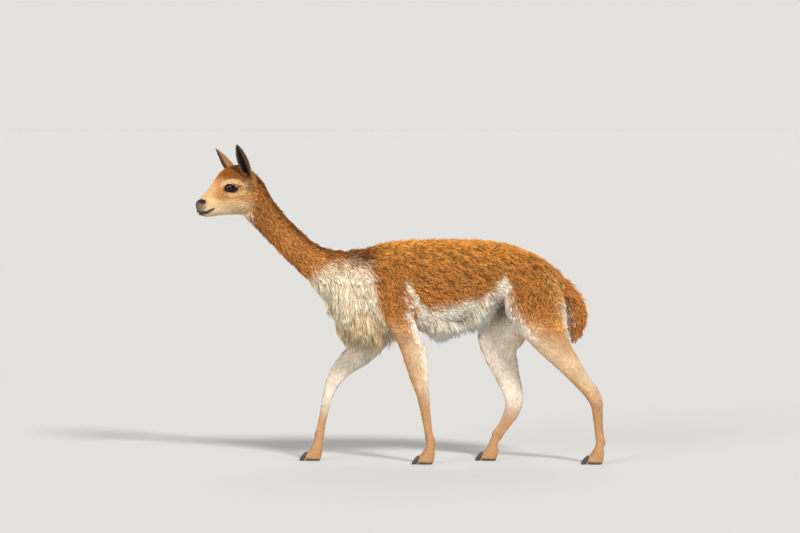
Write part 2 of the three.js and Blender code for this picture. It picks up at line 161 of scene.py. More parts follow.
START_X = 8
HEAD_TURN = math.radians(15)
HEAD_PIVOT = np.array([-612, 0, 1090])
TORSO = [
    [-292, 804, -292, 628, 55],
    [-232, 846, -232, 584, 90],
    [-152, 858, -152, 542, 114],
    [-52, 885, -52, 522, 128],
    [68, 893, 68, 528, 137],
    [188, 895, 188, 558, 141],
    [308, 892, 308, 598, 137],
    [408, 878, 408, 630, 130],
    [488, 852, 488, 604, 121],
    [568, 808, 568, 574, 102],
    [620, 758, 620, 574, 74],
]
CHEST = [
    [-312, 724, -132, 776, 84],
    [-286, 650, -104, 660, 106],
    [-262, 582, -82, 572, 104],
    [-240, 536, -64, 532, 80],
]
NECK = [
    [-592, 1162, -652, 1000, 52],
    [-564, 1128, -622, 972, 52],
    [-524, 1056, -574, 927, 50],
    [-472, 992, -524, 874, 50],
    [-412, 932, -476, 822, 53],
    [-352, 880, -428, 778, 58],
    [-292, 855, -384, 736, 67],
    [-240, 848, -340, 690, 80],
    [-188, 828, -284, 640, 84],
]
HEAD = [
    [-614, 1170, -604, 1030, 54],
    [-652, 1190, -620, 998, 66],
    [-682, 1190, -645, 994, 69],
    [-711, 1180, -673, 995, 66],
    [-736, 1160, -702, 994, 60],
    [-757, 1132, -731, 992, 51],
    [-778, 1104, -756, 989, 43],
    [-798, 1082, -777, 986, 37],
    [-815, 1066, -794, 985, 32],
    [-826, 1053, -812, 993, 27],
]
TAIL = [
    [592, 788, 604, 724, 22],
    [658, 722, 624, 680, 30],
    [710, 660, 652, 638, 33],
    [730, 592, 664, 582, 33],
    [716, 538, 670, 532, 26],
    [698, 506, 676, 504, 15],
]
LEGS = {
    "front_left": [
        [-96, 776, 24, 788, 22, -88],
        [-104, 692, 36, 692, 39, -97],
        [-80, 604, 44, 604, 42, -96],
        [-48, 532, 64, 532, 36, -92],
        [-16, 464, 92, 472, 28, -88],
        [8, 392, 104, 400, 24, -85],
        [28, 332, 106, 336, 23, -83],
        [50, 272, 110, 276, 20, -81],
        [66, 204, 114, 208, 16, -80],
        [80, 132, 122, 132, 15, -79],
        [84, 96, 134, 90, 21, -78],
        [90, 74, 132, 66, 20, -78],
    ],
    "front_right": [
        [-116, 724, 12, 744, 24, 88],
        [-146, 620, -4, 604, 40, 94],
        [-164, 520, -52, 480, 36, 90],
        [-192, 480, -128, 396, 31, 87],
        [-228, 454, -176, 366, 28, 84],
        [-268, 408, -216, 340, 25, 82],
        [-300, 356, -244, 310, 23, 80],
        [-316, 308, -266, 280, 20, 80],
        [-328, 252, -282, 246, 16, 79],
        [-340, 192, -297, 188, 15, 79],
        [-352, 132, -310, 130, 15, 78],
        [-364, 98, -314, 88, 21, 78],
        [-362, 76, -320, 64, 20, 78],
    ],
    "hind_left": [
        [440, 788, 600, 740, 30, -80],
        [394, 716, 640, 660, 49, -86],
        [410, 624, 650, 580, 51, -85],
        [460, 536, 656, 534, 46, -84],
        [536, 450, 670, 486, 38, -84],
        [612, 380, 694, 440, 29, -84],
        [672, 322, 740, 358, 23, -84],
        [716, 276, 782, 302, 21, -84],
        [744, 232, 800, 250, 22, -84],
        [752, 188, 802, 196, 17, -83],
        [760, 132, 804, 132, 15, -82],
        [762, 96, 812, 88, 21, -81],
        [766, 74, 808, 64, 20, -81],
    ],
    "hind_right": [
        [412, 760, 584, 716, 30, 80],
        [348, 660, 556, 590, 48, 86],
        [304, 560, 492, 480, 44, 84],
        [302, 476, 462, 444, 36, 84],
        [334, 394, 466, 392, 30, 84],
        [370, 324, 476, 330, 24, 84],
        [394, 278, 486, 286, 21, 84],
        [408, 234, 488, 238, 22, 84],
        [400, 192, 470, 182, 17, 83],
        [380, 148, 434, 134, 15, 82],
        [354, 112, 404, 92, 20, 81],
        [344, 84, 390, 66, 20, 80],
    ],
}
TOE_HALF, TOE_APART, TOE_LENGTH = 15, 9.5, 62
VOXEL = 0.0036
# How far the skin lies under the solid's surface, mm
COAT_DEPTH = {"torso": 9, "chest": 0, "neck": 7, "head": 2.2, "tail": 8, "leg": 5, "toe": 1.2}

rng = np.random.default_rng(7)


def rib_at(ribs, s):
    """The ribs' numbers at s, on a smooth curve through each of them."""
    last = len(ribs) - 1
    along = np.clip(s, 0, 1) * last
    i = np.minimum(along.astype(int), last - 1)
    a, b, c, d = [ribs[np.clip(i + k, 0, last)] for k in (-1, 0, 1, 2)]
    t = (along - i)[..., None]
    left, right, rise = (c - a) / 2, (d - b) / 2, c - b
    return b + t * (left + t * (3 * rise - 2 * left - right + t * (left + right - 2 * rise)))


def ring_faces(count, sides):
    """Faces round a stack of rings, closed by one more point at its start and one at its end."""
    faces, last = [], (count - 1) * sides
    for j in range(sides):
        k = (j + 1) % sides
        faces += [(i + j, i + k, i + sides + k, i + sides + j) for i in range(0, last, sides)]
        faces += [(count * sides, k, j), (count * sides + 1, last + j, last + k)]
    return faces


class Form:
    """A body of oval ribs, in mm. s runs along it, from 0 at the first rib to 1 at the last.

    start and end are how far its rounded ends reach past those, a square above 2 makes the ovals boxier, egg
    widens their upper edge, and a turned form turns with the head.
    """

    def __init__(self, name, ribs, start=10, end=10, square=2.0, egg=0.0, turned=False):
        self.name = name
        self.ribs = np.array([row if len(row) == 6 else [*row, 0] for row in ribs], float)
        self.start, self.end, self.square, self.egg, self.turned = start, end, square, egg, turned

    def centre(self, s):
        """The middle of the ribs at s."""
        r = rib_at(self.ribs, s)
        return np.stack([(r[..., 0] + r[..., 2]) / 2, r[..., 5], (r[..., 1] + r[..., 3]) / 2], -1)

    def along(self, s):
        """The direction of the form at s, towards its last rib."""
        step = self.centre(s + 0.01) - self.centre(s - 0.01)
        return step / np.linalg.norm(step, axis=-1, keepdims=True)

    def at(self, s, angle, grow=0.0, shrink=1.0):
        """Points of the surface. Angle 0 is the upper or front edge, and a quarter turn is the right side."""
        r = rib_at(self.ribs, s)
        deep = np.stack([r[..., 0] - r[..., 2], 0 * r[..., 0], r[..., 1] - r[..., 3]], -1) / 2
        depth = np.linalg.norm(deep, axis=-1)
        up, out = np.cos(angle), np.sin(angle)
        bend = lambda v: np.sign(v) * np.abs(v) ** (2 / self.square)
        point = deep * (bend(up) * shrink * (depth + grow) / depth)[..., None]
        point[..., 1] = (r[..., 4] + grow) * shrink * bend(out) * (1 + self.egg * up)
        return point + self.centre(s)

    def mesh(self, rings, sides, grow=0.0):
        """The closed surface: points in metres, faces, and the s and angle of each point."""
        rounding = np.radians([18, 36, 54, 72])
        angle = np.linspace(0, 2 * np.pi, sides, endpoint=False)
        rows = [(0.0, -(self.start + grow) * np.sin(a), np.cos(a)) for a in rounding[::-1]]
        rows += [(s, 0.0, 1.0) for s in np.linspace(0, 1, rings + 1)]
        rows += [(1.0, (self.end + grow) * np.sin(a), np.cos(a)) for a in rounding]
        points, where = [], []
        for s, reach, shrink in rows:
            s_row = np.full(sides, s)
            points.append(self.at(s_row, angle, grow, shrink) + self.along(s_row) * reach)
            where.append(np.stack([s_row, angle], -1))
        ends = np.array([0.0, 1.0])
        reach = np.array([[-self.start - grow], [self.end + grow]])
        points.append(self.centre(ends) + self.along(ends) * reach)
        where.append(np.stack([ends, ends * 0], -1))
        points, where = np.concatenate(points), np.concatenate(where)
        return to_frame(points, self.turned), ring_faces(len(rows), sides), where


def turn_head(points, back=False):
    """Turns points, mm, about the top of the neck as the head is turned, or back to the straight head."""
    a = -HEAD_TURN if back else HEAD_TURN
    spin = np.array([[math.cos(a), -math.sin(a), 0], [math.sin(a), math.cos(a), 0], [0, 0, 1]])
    return (points - HEAD_PIVOT) @ spin.T + HEAD_PIVOT


def to_frame(points, turned=True):
    """mm of the body, or of its straight head, to metres of the frame."""
    return ((turn_head(points) if turned else points) + [START_X, 0, 0]) / 1000


def to_straight_head(places):
    """Metres of the frame to mm of the straight head."""
    return turn_head(places * 1000 - [START_X, 0, 0], back=True)


def toe_forms(ribs):
    """The two toes under a leg."""
    x, y = (ribs[-1][0] + ribs[-1][2]) / 2, ribs[-1][5]
    made = []
    for side in (-1, 1):
        off = y + side * TOE_APART
        rows = [
            [x - 16, 88, x + 12, 80, TOE_HALF - 6, y + side * TOE_APART / 2],
            [x - 27, 60, x + 17, 40, TOE_HALF, off],
            [x - 43, 38, x + 6, -3, TOE_HALF + 1, off],
            [x - TOE_LENGTH + 4, 21, x - 24, -8, TOE_HALF - 2, off],
        ]
        made.append(Form("toe", rows, start=6, end=8, square=2.3))
    return made


torso = Form("torso", TORSO, start=36, end=30, square=2.15, egg=0.06)
chest = Form("chest", CHEST, start=20, end=10)
neck = Form("neck", NECK, start=20, end=20)
head = Form("head", HEAD, start=16, end=14, square=2.1, egg=-0.04, turned=True)
tail = Form("tail", TAIL, start=8, end=10)
legs = {name: Form("leg", ribs, start=22, end=6, square=2.1) for name, ribs in LEGS.items()}
forms = [torso, chest, neck, head, tail, *legs.values()]
for ribs in LEGS.values():
    forms += toe_forms(ribs)

points, faces, form_of, where_of, fall_of = [], [], [], [], []
for number, form in enumerate(forms):
    broad = form.name in ("torso", "head", "neck")
    p, f, where = form.mesh(72 if broad else 36, 72 if broad else 32, -COAT_DEPTH[form.name])
    faces += [tuple(np.array(face) + sum(map(len, points))) for face in f]
    ahead = form.along(where[:, 0])
    points.append(p)
    form_of.append(np.full(len(p), number))
    where_of.append(where)
    fall_of.append(turn_head(ahead + HEAD_PIVOT) - HEAD_PIVOT if form.turned else ahead)
points, form_of = np.concatenate(points), np.concatenate(form_of)
where_of, fall_of = np.concatenate(where_of), np.concatenate(fall_of)

carving = new_object("carving", points, faces, None)
remesh = carving.modifiers.new("remesh", "REMESH")
remesh.mode = "VOXEL"
remesh.voxel_size = VOXEL
depsgraph = bpy.context.evaluated_depsgraph_get()
skin_mesh = bpy.data.meshes.new_from_object(carving.evaluated_get(depsgraph))
bpy.data.objects.remove(carving)


def rows_of(items, key, width=3, kind=float):
    """One property of a mesh's vertices or edges, as an array with a row for each."""
    flat = np.empty(len(items) * width, kind)
    items.foreach_get(key, flat)
    return flat.reshape(-1, width)


def soften(values, edges, weight, rounds):
    """Moves each row of values towards the mean of its neighbours' by its weight, round after round."""
    a, b = np.concatenate([edges[:, 0], edges[:, 1]]), np.concatenate([edges[:, 1], edges[:, 0]])
    near = np.maximum(np.bincount(a, minlength=len(values)), 1)
    for _ in range(rounds):
        mean = [np.bincount(a, values[b, k], len(values)) / near for k in range(values.shape[1])]
        values = values + (np.stack(mean, -1) - values) * weight
    return values


def nearest(targets, asked):
    """For each asked point, the number of the nearest target."""
    tree = KDTree(len(targets))
    for i, p in enumerate(targets.tolist()):
        tree.insert(p, i)
    tree.balance()
    return np.array([tree.find(p)[1] for p in asked.tolist()])


# The head is carved finer, for its lids and lips.
carved = bmesh.new()
carved.from_mesh(skin_mesh)
head_edges = [e for e in carved.edges if all(v.co.x < -0.575 and v.co.z > 0.95 for v in e.verts)]
bmesh.ops.subdivide_edges(carved, edges=head_edges, cuts=1, use_grid_fill=True)
bmesh.ops.triangulate(carved, faces=[f for f in carved.faces if len(f.verts) > 4])
carved.to_mesh(skin_mesh)
carved.free()

body = rows_of(skin_mesh.vertices, "co")
edges = rows_of(skin_mesh.edges, "vertices", 2, np.int64)
source = nearest(points, body)
form_number = form_of[source]
part = np.array([form.name for form in forms])[form_number]
where = where_of[source]
fall = fall_of[source]

# Where two forms meet, the hollow between them is filled and smoothed.
border = np.zeros(len(body))
crossing = form_number[edges[:, 0]] != form_number[edges[:, 1]]
border[edges[crossing].ravel()] = 1
spread = np.clip(soften(border[:, None], edges, 1.0, 14) * 6, 0, 1)
spread[part == "head"] *= 0.5
spread[part == "toe"] *= 0.25
body = soften(body, edges, spread * 0.9, 30)
body = soften(body, edges, 0.5, 3)

# Lids, nostrils and lips are pressed into the head, in its own straight frame, mm.
EYE_X, EYE_Y, EYE_Z, EYE_RADIUS, EYE_TURN = -708, 49, 1104, 20, math.radians(20)
NOSTRIL = (-806, 1051)
LIPS = np.array([(-846, 1007), (-822, 1002), (-796, 1004), (-766, 1021)], float)


def ease(low, high, value):
    """0 below low, 1 above high and smooth between."""
    t = np.clip((value - low) / (high - low), 0, 1)
    return t * t * (3 - 2 * t)


def unit(vectors):
    """The vectors at length 1."""
    return vectors / np.maximum(np.linalg.norm(vectors, axis=-1, keepdims=True), 1e-9)


def eye_axes(side):
    """The directions that an eye looks in, forward along its lids, and up."""
    out = unit(np.array([-math.sin(EYE_TURN), side * math.cos(EYE_TURN), 0.05]))
    ahead = unit(np.array([-1, 0, -0.08]) - out * np.dot([-1, 0, -0.08], out))
    up = np.cross(out, ahead) * -side
    return out, ahead, up


def to_line(x, z, line):
    """Distance of points (x, z) from a line through the given corners, and their place along it, 0 to 1."""
    best, place = np.full(len(x), 1e9), np.zeros(len(x))
    for i, (a, b) in enumerate(zip(line[:-1], line[1:])):
        step = b - a
        t = np.clip(((x - a[0]) * step[0] + (z - a[1]) * step[1]) / (step @ step), 0, 1)
        d = np.hypot(x - a[0] - t * step[0], z - a[1] - t * step[1])
        place = np.where(d < best, (i + t) / (len(line) - 1), place)
        best = np.minimum(best, d)
    return best, place


in_head = (body[:, 0] < -0.57) & (body[:, 2] > 0.95)
face = to_straight_head(body[in_head])
skin_mesh.vertices.foreach_set("co", body.ravel())
skin_mesh.update()
outward = rows_of(skin_mesh.vertices, "normal")[in_head]
outward = turn_head(outward + HEAD_PIVOT, back=True) - HEAD_PIVOT
brow, _ = to_line(face[:, 0], face[:, 2], np.array([(-738, 1124), (-712, 1136), (-682, 1128)], float))
cheek = np.hypot((face[:, 0] + 668) / 30, (face[:, 2] - 1040) / 26)
hollow = np.hypot((face[:, 0] + 752) / 20, (face[:, 2] - 1072) / 16)
swell = 3.0 * np.exp(-((brow / 9) ** 2)) + 2.2 * np.exp(-(cheek**2)) - 2.4 * np.exp(-(hollow**2))
lips, lip_place = to_line(face[:, 0], face[:, 2], LIPS)
open_lips = ease(1.02, 0.9, lip_place)
swell += open_lips * (1.6 * np.exp(-(((lips - 5.5) / 3.2) ** 2)) - 4.2 * np.exp(-((lips / 1.9) ** 2)))
slit_x = (face[:, 0] - NOSTRIL[0]) * 0.89 + (face[:, 2] - NOSTRIL[1]) * 0.45
slit_z = (face[:, 2] - NOSTRIL[1]) * 0.89 - (face[:, 0] - NOSTRIL[0]) * 0.45
slit = np.hypot(slit_x / 10.5, slit_z / 3.2)
swell += 1.4 * np.exp(-(((slit - 1.7) / 0.6) ** 2)) - 5.5 * np.exp(-(slit**2)) * (np.abs(face[:, 1]) > 8)
split = np.exp(-((face[:, 1] / 1.6) ** 2)) * (face[:, 0] < -800)
swell -= 2.4 * split * ease(1004, 1012, face[:, 2]) * ease(1046, 1036, face[:, 2])
face += outward * swell[:, None]
for side in (-1, 1):
    centre = np.array([EYE_X, side * EYE_Y, EYE_Z])
    out, ahead, up = eye_axes(side)
    v = face - centre
    r = np.linalg.norm(v, axis=1)
    u, w = v @ ahead, v @ up
    high = np.where(w > 0, 13.5, 13.0)
    almond = (np.abs(u / 23) ** 1.7 + np.abs(w / high) ** 1.8) ** 0.57
    lid = EYE_RADIUS + 2.4 + (r - EYE_RADIUS - 2.4) * ease(1.15, 2.0, almond)
    wanted = np.where(almond < 1, EYE_RADIUS - 3.0, np.maximum(lid, r * ease(1.0, 2.0, almond)))
    near = (v @ out > 0) & (almond < 2.0)
    face[near] = centre + v[near] / r[near, None] * wanted[near, None]
body[in_head] = to_frame(face)
body[:, 2] = np.maximum(body[:, 2], 0.0006)
skin_mesh.vertices.foreach_set("co", body.ravel())
skin_mesh.update()


def ear_mesh(root, tip, faces_to, length=146, width=46, wall=3.2, rows=34, columns=25):
    """An ear, a leaf rolled into a cup, from sizes in mm on the straight head.

    Returns its points, faces and, for each point, how far up it is, whether it is inside the cup, and its
    place from -1 at one edge to 1 at the other.
    """
    axis = unit(tip - root)
    opens = unit(faces_to - axis * (faces_to @ axis))
    across = np.cross(axis, opens)
    sheet = []
    for t in np.linspace(0, 1, rows) ** 0.9 * 0.985:
        roll = math.radians(150 - 75 * t)
        half = width / 2 * (0.6 + 1.6 * t - 1.75 * t * t) * math.sqrt(1 - t**6)
        radius = half / math.sin(min(roll, math.pi / 2))
        middle = root + axis * t * length + opens * (radius * 0.4 + 9 * t * (1 - t))
        angle = np.linspace(-roll, roll, columns)
        thick = wall * (1 - 0.6 * t) * (1 - (np.abs(angle) / roll) ** 6 * 0.6)
        rim = lambda r, a: middle + across * (r * np.sin(a))[:, None] - opens * (r * np.cos(a))[:, None]
        outer, inner = rim(radius + 0 * angle, angle), rim(radius - thick, angle)
        sheet.append(np.concatenate([outer, inner[::-1]]))
    count = 2 * columns
    sheet.append(np.repeat(sheet[-1].mean(0)[None] + axis * 1.5, count, 0))
    points = np.concatenate(sheet)
    faces = []
    for i in range(rows):
        for j in range(count):
            k = (j + 1) % count
            faces.append((i * count + j, i * count + k, (i + 1) * count + k, (i + 1) * count + j))
    row, column = np.divmod(np.arange(len(points)), count)
    inside = column >= columns
    edge = np.where(inside, count - 1 - column, column) / (columns - 1) * 2 - 1
    return to_frame(points), faces, np.stack([row / rows, inside * 1.0, edge], -1)


EARS = {
    "ear_left": ((-626, -46, 1147), (-681, -80, 1268), (-0.35, -1, 0.1)),
    "ear_right": ((-645, 46, 1150), (-737, 110, 1266), (-1.0, 0.2, 0.2)),
}

# Where the dark strip runs in each cup, from -1 at one edge to 1 at the other
EAR_DARK = {"ear_left": -0.2, "ear_right": 0.2}


# Colours of the coat
# Vicuna fleece: cinnamon fawn over the neck, back, flanks and thighs, a cream bib, belly and inside of the
# legs, a rust crown, pale cheeks and dark nose, lips, lids and ear cups. Skin and hair take their colours
# from here. A few of them are painted light and shade: painted shade down the front of the throat and over
# the bare skin of the groin, and a painted highlight on the rump.

HUES = {
    "back": "#D28F3F",
    "flank": "#BD7C38",
    "neck": "#C5823F",
    "nape": "#744519",
    # painted shade for the front of the throat
    "throat_shade": "#8E6238",
    "cream": "#F8E4C9",
    "white": "#FCEFDC",
    # the bib's lower part, darker towards the bottom
    "low_bib": "#D9BD95",
    # sandy band at the back of the thigh, and a painted highlight on the rump
    "sandy_and_highlight": "#E0AC69",
    # bare skin of the groin, darkened with painted shade
    "groin_skin_and_shade": "#857464",
    "shank": "#CC9664",
    "pad": "#6B5848",
    "leg": "#F0CDA0",
    "leg_front": "#DDA468",
    "tail": "#C58240",
    "face": "#CE975A",
    "bridge": "#DBB27C",
    "tear": "#B98046",
    "crown": "#9C5C24",
    "cheek": "#DDBB8B",
    "brow": "#ECCB97",
    "temple": "#A07A4A",
    "nose": "#2B2523",
    "muzzle": "#665950",
    "lip": "#4B4340",
    "lid": "#1D1512",
    "ear_back": "#9C6E42",
    "ear_rim": "#775D45",
    "ear_cup": "#1C140F",
}


def lay(under, *coats):
    """Lays hues over colours in turn. coats are (hue, share) pairs, and a share of 1 covers all."""
    for hue, share in coats:
        under = under + (np.array(linear(HUES[hue])[:3]) - under) * np.clip(share, 0, 1)[:, None]
    return under


def ripple(places, size, number):
    """Smooth chance variation between about -1 and 1, for points in metres and a size in mm."""
    dice = np.random.default_rng(number)
    total = np.zeros(len(places))
    for _ in range(7):
        wave = unit(dice.normal(size=3)) * 2 * np.pi / (size / 1000) * dice.uniform(0.6, 1.5)
        total += np.sin(places @ wave + dice.uniform(0, 2 * np.pi))
    return total / 3


# The lower edge of the fawn flank, mm: x and z from the elbow back to the top of the flank fold
BELLY_LINE = (
    (0, 12, 58, 92, 148, 208, 268, 308, 340, 368, 394, 416, 440),
    (750, 738, 668, 616, 584, 572, 612, 668, 704, 731, 766, 730, 600),
)


def bib_rear(z):
    """x of the bib's rear edge at height z, mm."""
    return np.interp(z, [480, 520, 564, 652, 700, 800], [-16, -30, -78, -100, -108, -128])


def coat_colour(places, normals, part, where):
    """Linear colours of the coat at points of the skin."""
    ragged = lambda size, number: ripple(places, size, number)
    x = places[:, 0] * 1000 - START_X + 6 * ragged(60, 1) + 3 * ragged(20, 5)
    z = places[:, 2] * 1000 + 6 * ragged(60, 2) + 3 * ragged(20, 6)
    s, angle = where[:, 0], where[:, 1] + 0.12 * ragged(30, 7)
    front, on_left = np.cos(angle), places[:, 1] < 0
    everywhere = np.ones(len(places))

    # Trunk and neck
    on_neck = part == "neck"
    trunk = np.isin(part, ["torso", "neck", "chest"])
    near_head = 0.6 * ease(0.5, 0.05, s)
    mane_edge = 0.4 + 0.2 * ease(0.45, 0.85, s)
    mane = np.maximum(ease(mane_edge, 0.98, front), near_head)
    mane = np.where(on_neck, mane, ease(-70, -160, x) * ease(780, 832, z))
    # A dark band down the front of the throat: painted shade.
    throat_shade = ease(0.86, 0.98, -front) * ease(0.85, 0.6, s)
    behind = x + 40 * (places[:, 1] > 0)
    low = np.interp(np.where(x < 100, behind, x), BELLY_LINE[0], BELLY_LINE[1])
    elbow = np.interp(z, [560, 600, 644, 732], [86, 60, 34, 3])
    belly = ease(10, -14, z - low) * ease(-8, 8, behind - elbow)
    under = ease(0.25, 0.6, -normals[:, 2]) * ease(690, 640, z)
    top = np.interp(x, [-430, -400, -332, -240, -150, -120], [700, 738, 790, 806, 804, 790])
    bib = ease(18, -20, x - bib_rear(z)) * ease(34, -38, z - top)
    # The rump in front of the tail takes a painted highlight.
    rump = ease(560, 630, x) * ease(830, 740, z)
    colour = lay(
        np.zeros((len(places), 3)),
        ("flank", everywhere),
        ("back", ease(760, 870, z)),
        ("neck", on_neck * 1.0),
        ("nape", np.isin(part, ["neck", "torso"]) * mane * 0.95),
        # painted shade down the front of the throat
        ("throat_shade", on_neck * throat_shade * 0.7),
        ("white", trunk * np.maximum(belly, under)),
        ("cream", trunk * bib),
        ("cream", (part == "chest") * 1.0),
        # painted highlight on the rump
        ("sandy_and_highlight", trunk * rump * 0.55),
        # the bib darker towards its bottom
        ("low_bib", trunk * (bib > 0.5) * ease(700, 570, z)),
    )

    # Legs and tail
    leg, hind = np.isin(part, ["leg", "toe"]), x > 200
    inward = -normals[:, 1] * np.sign(places[:, 1])
    knee_up = np.where(hind, np.interp(x, [420, 520, 640], [600, 558, 496]), 545)
    shin = ease(0.1, 0.9, front) * ease(0.45, 0.1, inward) * ease(640, 500, z)
    shin = shin * np.where(hind, ease(420, 300, z), 1)
    fold = ease(0, 0.4, front - np.interp(z, [480, 600, 700, 750], [0.2, 0.42, 0.62, 0.85]))
    shank = ease(345, 215, z + 70 * ease(0, 0.5, inward))
    seat = ease(0.4, 0.95, -front) * ease(450, 540, z)
    seam = ease(0.8, 0.98, -front) * ease(480, 540, z) * ease(690, 650, z)
    # Bare skin in the groin, darker with painted shade where the belly meets the thigh.
    groin_skin_and_shade = ease(330, 380, x) * ease(480, 430, x)
    groin_skin_and_shade = groin_skin_and_shade * ease(550, 600, z) * ease(720, 670, z)
    groin_skin_and_shade = groin_skin_and_shade * ease(0.11, 0.08, np.abs(places[:, 1])) * np.isin(part, ["torso", "leg"])
    colour = lay(
        colour,
        ("leg", leg * ease(70, -90, z - knee_up)),
        ("leg_front", leg * shin),
        ("white", leg * ease(-0.05, 0.4, inward) * ease(110, 240, z)),
        ("white", leg * ease(0.35, 0.8, -front) * ease(170, 260, z) * ~hind),
        ("white", leg * ~hind * belly * ease(440, 520, z)),
        ("white", leg * hind * fold * ease(470, 540, z)),
        ("shank", leg * shank * 0.85),
        ("pad", (part == "toe") * ease(0.011, 0.008, places[:, 2])),
        ("sandy_and_highlight", leg * hind * seat * 0.7),
        ("cream", leg * hind * seam * np.where(on_left, 0.8, 0.4)),
        # bare skin with painted shade in the groin
        ("groin_skin_and_shade", groin_skin_and_shade * 0.6),
        ("tail", (part == "tail") * 1.0),
        ("cream", (part == "tail") * ease(0.5, 0.95, -front) * 0.7),
    )

    # Face, by places on the straight head
    at = to_straight_head(places)
    hx, hy, hz = at[:, 0] + 2 * ragged(18, 3), np.abs(at[:, 1]), at[:, 2] + 2 * ragged(18, 4)
    side = ease(22, 32, hy)
    spot = lambda cx, cz, wide, high: np.hypot((hx - cx) / wide, (hz - cz) / high)
    line = lambda *corners: to_line(hx, hz, np.array(corners, float))[0]
    jaw = hz + 0.1 * (hx + 700)
    over_eye = line((-734, 1116), (-710, 1128), (-682, 1129), (-658, 1112))
    under_eye = line((-712, 1076), (-688, 1074), (-656, 1092))
    nostril = spot(NOSTRIL[0] - 8, NOSTRIL[1] - 2, 17, 9.5)
    nose = ease(1.3, 0.8, hy / np.interp(hz, [1012, 1030, 1046], [1.5, 5, 12]))
    nose = nose * ease(1006, 1012, hz) * ease(1058, 1050, hz)
    lips, place = to_line(hx, hz, LIPS)
    lip_width = np.interp(place, [0, 0.4, 1], [11, 7, 4])
    lid_corner = line((-686, 1104), (-664, 1110))
    tint = lay(
        colour,
        ("face", everywhere),
        ("bridge", ease(-748, -772, hx) * ease(1044, 1054, hz)),
        ("crown", ease(1104, 1140, hz + 0.42 * (hx + 700)) * ease(-790, -762, hx)),
        ("cheek", ease(1066, 1044, jaw) * ease(-806, -790, hx)),
        ("cream", ease(1022, 1002, jaw) * 0.6),
        ("tear", ease(1.3, 0.3, spot(-742, 1072, 32, 24)) * side * 0.7),
        ("temple", ease(1.2, 0.5, spot(-640, 1112, 22, 26)) * side * 0.9),
        ("brow", ease(13, 4, over_eye) * side * 0.85),
        ("brow", ease(12, 3, under_eye) * side * 0.7),
        ("cheek", ease(1.2, 0.7, spot(-798, 1028, 15, 12))),
        ("muzzle", ease(-790, -814, hx) * ease(1052, 1040, hz) * 0.92),
        ("nose", ease(1.15, 0.8, nostril) * (hy > 5)),
        ("nose", nose * ease(-804, -814, hx)),
        ("lip", ease(1.35, 0.6, lips / lip_width)),
        ("lid", ease(1.12, 0.88, spot(-703, 1099, 28, 16)) * side),
        ("lid", ease(4.5, 2, lid_corner) * side * 0.8),
    )
    share = np.isin(part, ["head", "neck"]) * ease(-596, -640, hx + 5 * ragged(14, 8))
    return colour + (tint - colour) * share[:, None]


# Skin
# The body under the hair, with the ears rolled from the same skin: dense short undercoat that lies flat. It
# takes the hair's colours with painted shade, deepest between the tufts of the fleece, and is nearly as pale
# as the hair itself on the face and legs.


def hair_material(name, fineness, detail, darkest, roughness, sheen, sheen_roughness):
    """Hair with fine streaks in the colours of the Coat attribute, with its shader and streaks nodes."""
    material = new_material(name)
    tint = node(material, "ShaderNodeAttribute", attribute_name="Coat")
    place = node(material, "ShaderNodeTexCoord")
    streaks = node(
        material,
        "ShaderNodeTexNoise",
        [("Scale", fineness), ("Detail", detail), ("Roughness", 0.6)],
        [("Vector", place.outputs["Object"])],
    )
    mottled = node(
        material,
        "ShaderNodeMapRange",
        [("From Min", 0.3), ("From Max", 0.7), ("To Min", darkest), ("To Max", 1.1)],
        [("Value", streaks.outputs["Fac"])],
    )
    shaded = node(
        material,
        "ShaderNodeVectorMath",
        links=[(0, tint.outputs["Color"]), (3, mottled.outputs["Result"])],
        operation="SCALE",
    )
    shader = node(
        material,
        "ShaderNodeBsdfPrincipled",
        [
            ("Roughness", roughness),
            ("Specular IOR Level", 0.12),
            ("Sheen Weight", sheen),
            ("Sheen Roughness", sheen_roughness),
        ],
        [("Base Color", shaded.outputs["Vector"])],
    )
    node(material, "ShaderNodeOutputMaterial", links=[("Surface", shader.outputs[0])])
    return material, shader, streaks


def colour_in(mesh, name, colours):
    """Gives each vertex of the mesh its own linear colour, in an attribute of that name."""
    colours = np.concatenate([colours, np.ones((len(colours), 1))], 1)
    mesh.color_attributes.new(name, "FLOAT_COLOR", "POINT").data.foreach_set("color", colours.ravel())


places, body_part = body, part
skin_faces = [list(p.vertices) for p in skin_mesh.polygons]
ear_parts = []
for i, (name, ear_lines) in enumerate(EARS.items()):
    ear, ear_faces, ear_where = ear_mesh(*np.array(ear_lines, float))
    skin_faces += [[len(places) + corner for corner in face] for face in ear_faces]
    places = np.concatenate([places, ear])
    part = np.concatenate([part, np.full(len(ear), name)])
    where = np.concatenate([where, ear_where[:, :2]])
    form_number = np.concatenate([form_number, np.full(len(ear), len(forms) + i)])
    ear_parts.append(ear_where)

# Undercoat: short hair lying flat. It gives a soft matt surface with fine streaks.
undercoat, shader, streaks = hair_material("vicuna_undercoat", 420.0, 3.0, 0.82, 0.85, 0.05, 0.5)
relief = [("Strength", 0.35), ("Distance", 0.0008)]
bump = node(undercoat, "ShaderNodeBump", relief, [("Height", streaks.outputs["Fac"])])
undercoat.node_tree.links.new(shader.inputs["Normal"], bump.outputs["Normal"])
skin = new_object("skin", places, skin_faces, undercoat)
normals = rows_of(skin.data.vertices, "normal")
tones = coat_colour(places, normals, part, where)
for name, w in zip(EARS, ear_parts):
    own = part == name
    tip, inside, edge = w[:, 0], w[:, 1] > 0.5, w[:, 2]
    tones[own] = lay(
        tones[own],
        ("ear_back", np.ones(own.sum())),
        ("ear_rim", np.where(inside, 1.0, 0.6 * ease(0.3, 0.9, tip))),
        ("ear_cup", inside * ease(0.5, 0.2, np.abs(edge - EAR_DARK[name]))),
        ("ear_cup", ease(0.92, 1.0, np.abs(edge)) * 0.6),
    )
smooth_coat = np.isin(part, ["head", *EARS])
